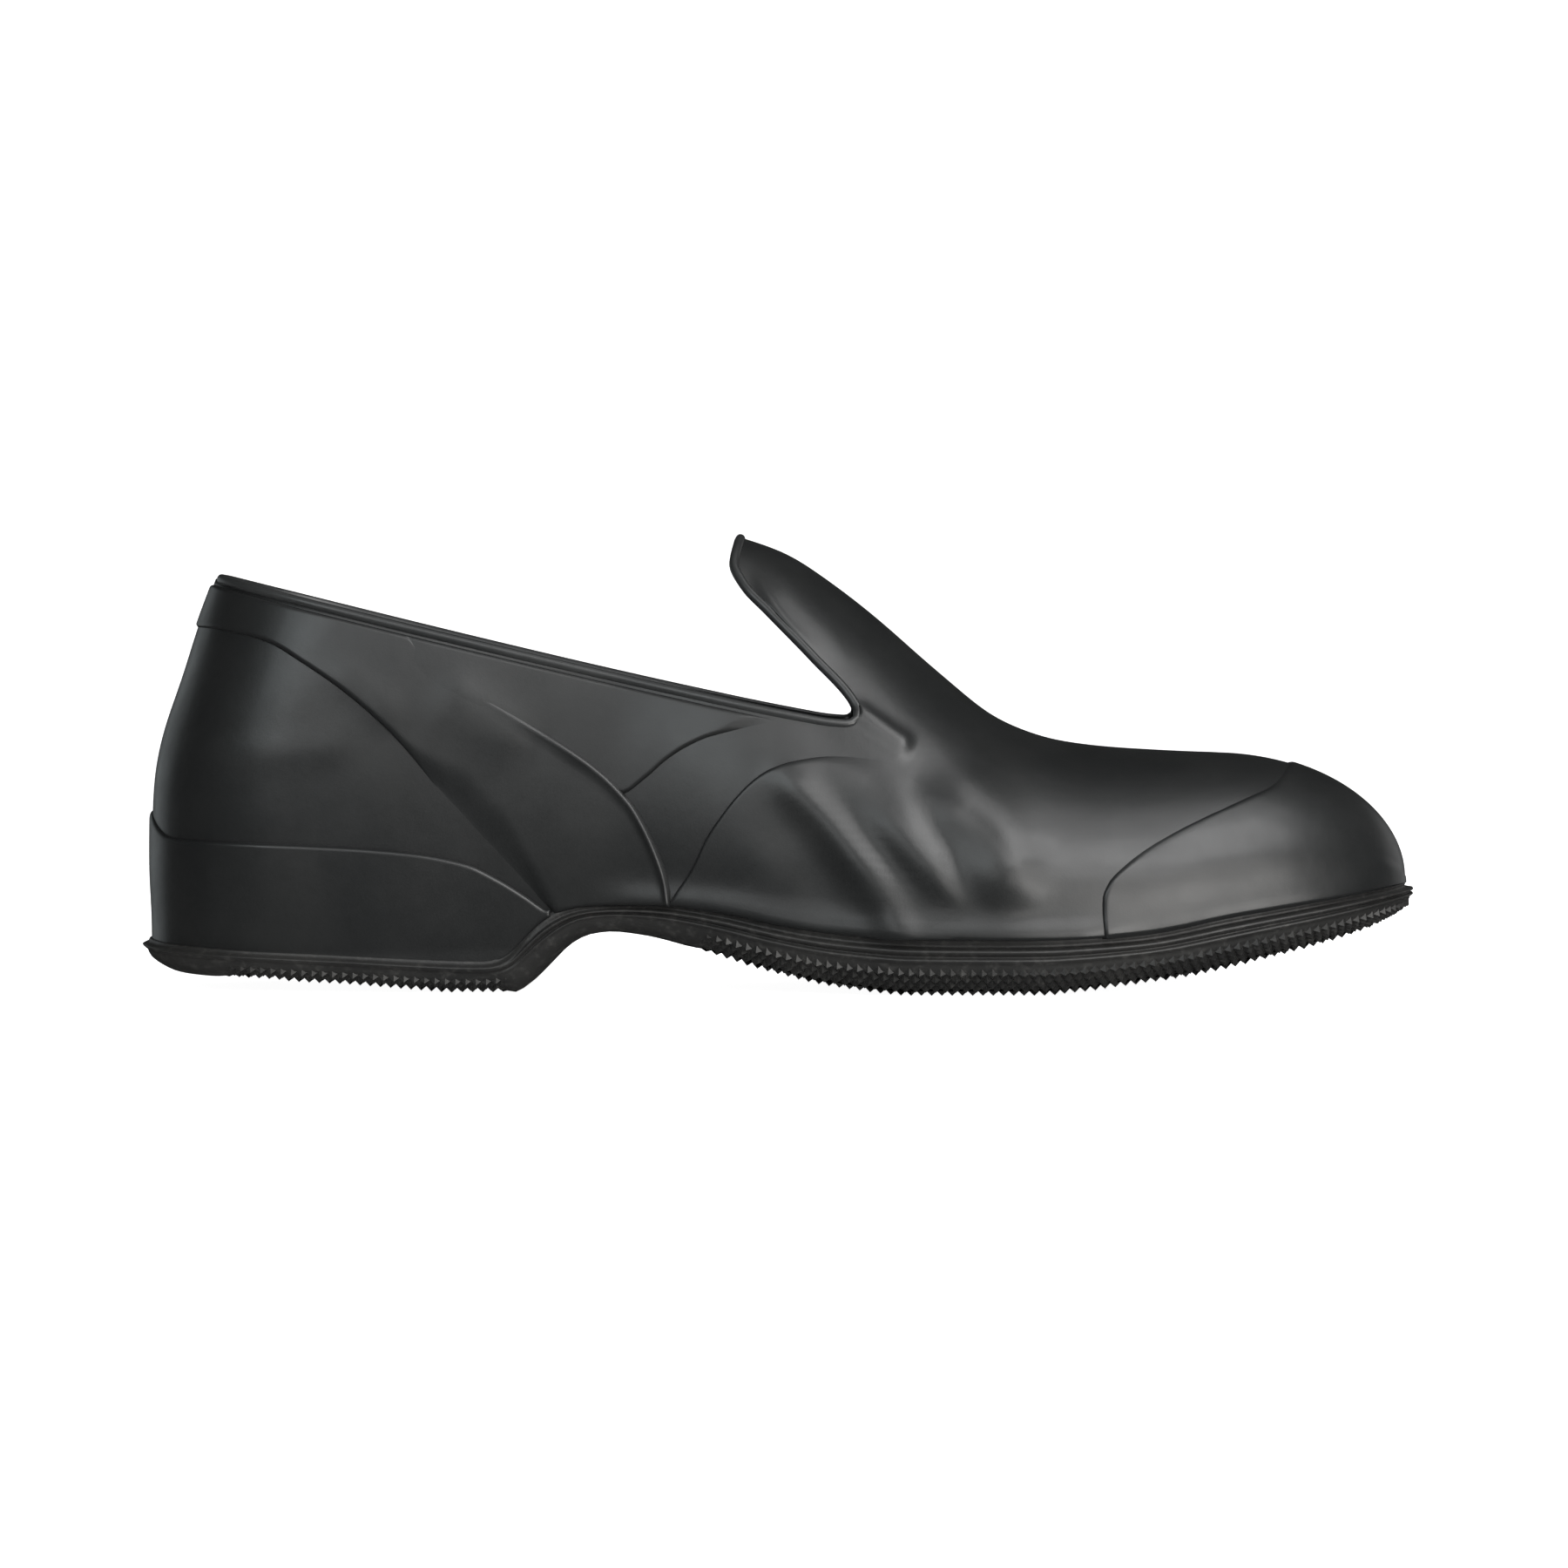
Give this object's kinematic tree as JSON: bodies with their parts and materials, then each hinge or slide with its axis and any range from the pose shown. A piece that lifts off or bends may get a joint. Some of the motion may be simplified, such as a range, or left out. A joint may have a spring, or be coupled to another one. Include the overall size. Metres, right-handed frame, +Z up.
{
  "type": "rubber overshoe",
  "caption": "Low pull-on rubber overshoe for a right foot, with a raised instep cover, a moulded heel band and a ribbed sole edge, worn over a dress shoe to keep it dry.",
  "frame": {"origin": "middle of the underside of the part's bounding box, on the floor", "axes": "+X towards the toe, +Y towards the inner side of the foot, +Z up"},
  "size_m": [0.311, 0.1068, 0.1104],
  "materials": {
    "upper_rubber": "satin black moulded rubber",
    "sole_rubber": "matt black moulded rubber"
  },
  "bodies": {
    "root": {"upper": "upper_rubber", "outsole": "sole_rubber", "heel_rand": "upper_rubber", "quarter_strap": "upper_rubber", "toe_cap": "upper_rubber", "collar_bead": "upper_rubber"}
  },
  "joints": []
}
